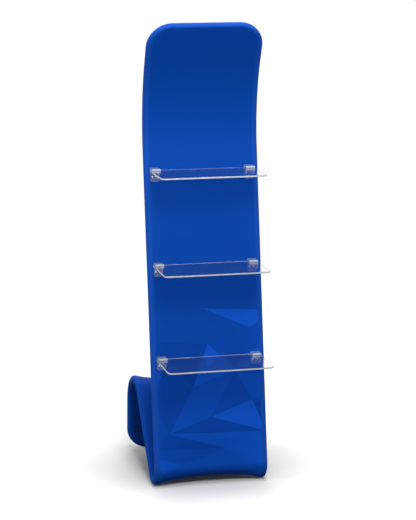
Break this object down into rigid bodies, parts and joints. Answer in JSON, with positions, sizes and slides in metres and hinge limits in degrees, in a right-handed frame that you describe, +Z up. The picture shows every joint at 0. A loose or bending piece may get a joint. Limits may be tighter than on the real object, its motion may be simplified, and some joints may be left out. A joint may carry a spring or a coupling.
{
  "type": "tension fabric brochure stand",
  "caption": "Free-standing brochure stand: stretch fabric sleeve over a bent tube frame that folds back into a foot, with clear acrylic shelves on clear brackets.",
  "frame": {"origin": "on the floor, midway between the two front feet, under the lowest point of the front bend", "axes": "+Z up, +X to the viewer's right along the width, -Y towards the viewer, the way the shelves stand out"},
  "size_m": [0.45, 0.7373, 1.7771],
  "materials": {
    "stretch_fabric": "matt knitted stretch polyester, printed",
    "zip_tape": "woven tape",
    "zip_plastic": "moulded coil",
    "zip_metal": "plated die casting",
    "clear_acrylic": "polished clear acrylic sheet",
    "clear_moulding": "clear injection moulding",
    "aluminium_tube": "mill finish tube",
    "steel_screw": "bright zinc",
    "spring_steel": "plain spring steel",
    "black_nylon": "moulded nylon"
  },
  "bodies": {
    "root": {"bracket_lower_left": "clear_moulding", "bracket_lower_right": "clear_moulding", "bracket_middle_left": "clear_moulding", "bracket_middle_right": "clear_moulding", "bracket_screws": "steel_screw", "bracket_upper_left": "clear_moulding", "bracket_upper_right": "clear_moulding", "crossbar_bolts": "steel_screw", "crossbar_lower": "aluminium_tube", "crossbar_middle": "aluminium_tube", "crossbar_nuts": "steel_screw", "crossbar_plugs": "black_nylon", "crossbar_upper": "aluminium_tube", "fabric_cover": "stretch_fabric", "front_bend_left": "aluminium_tube", "front_bend_right": "aluminium_tube", "hump_tube_left": "aluminium_tube", "hump_tube_right": "aluminium_tube", "joiner_lower_left": "aluminium_tube", "joiner_lower_right": "aluminium_tube", "joiner_middle_left": "aluminium_tube", "joiner_middle_right": "aluminium_tube", "joiner_rear_left": "aluminium_tube", "joiner_rear_right": "aluminium_tube", "joiner_riser_left": "aluminium_tube", "joiner_riser_right": "aluminium_tube", "joiner_top_left": "aluminium_tube", "joiner_top_right": "aluminium_tube", "lower_tube_left": "aluminium_tube", "lower_tube_right": "aluminium_tube", "rear_bow": "aluminium_tube", "shelf_lower": "clear_acrylic", "shelf_middle": "clear_acrylic", "shelf_upper": "clear_acrylic", "snap_buttons": "spring_steel", "top_bow": "aluminium_tube", "upper_tube_left": "aluminium_tube", "upper_tube_right": "aluminium_tube", "zip_chain": "zip_plastic", "zip_pull": "zip_metal", "zip_slider": "zip_metal", "zip_tape": "zip_tape"}
  },
  "joints": []
}
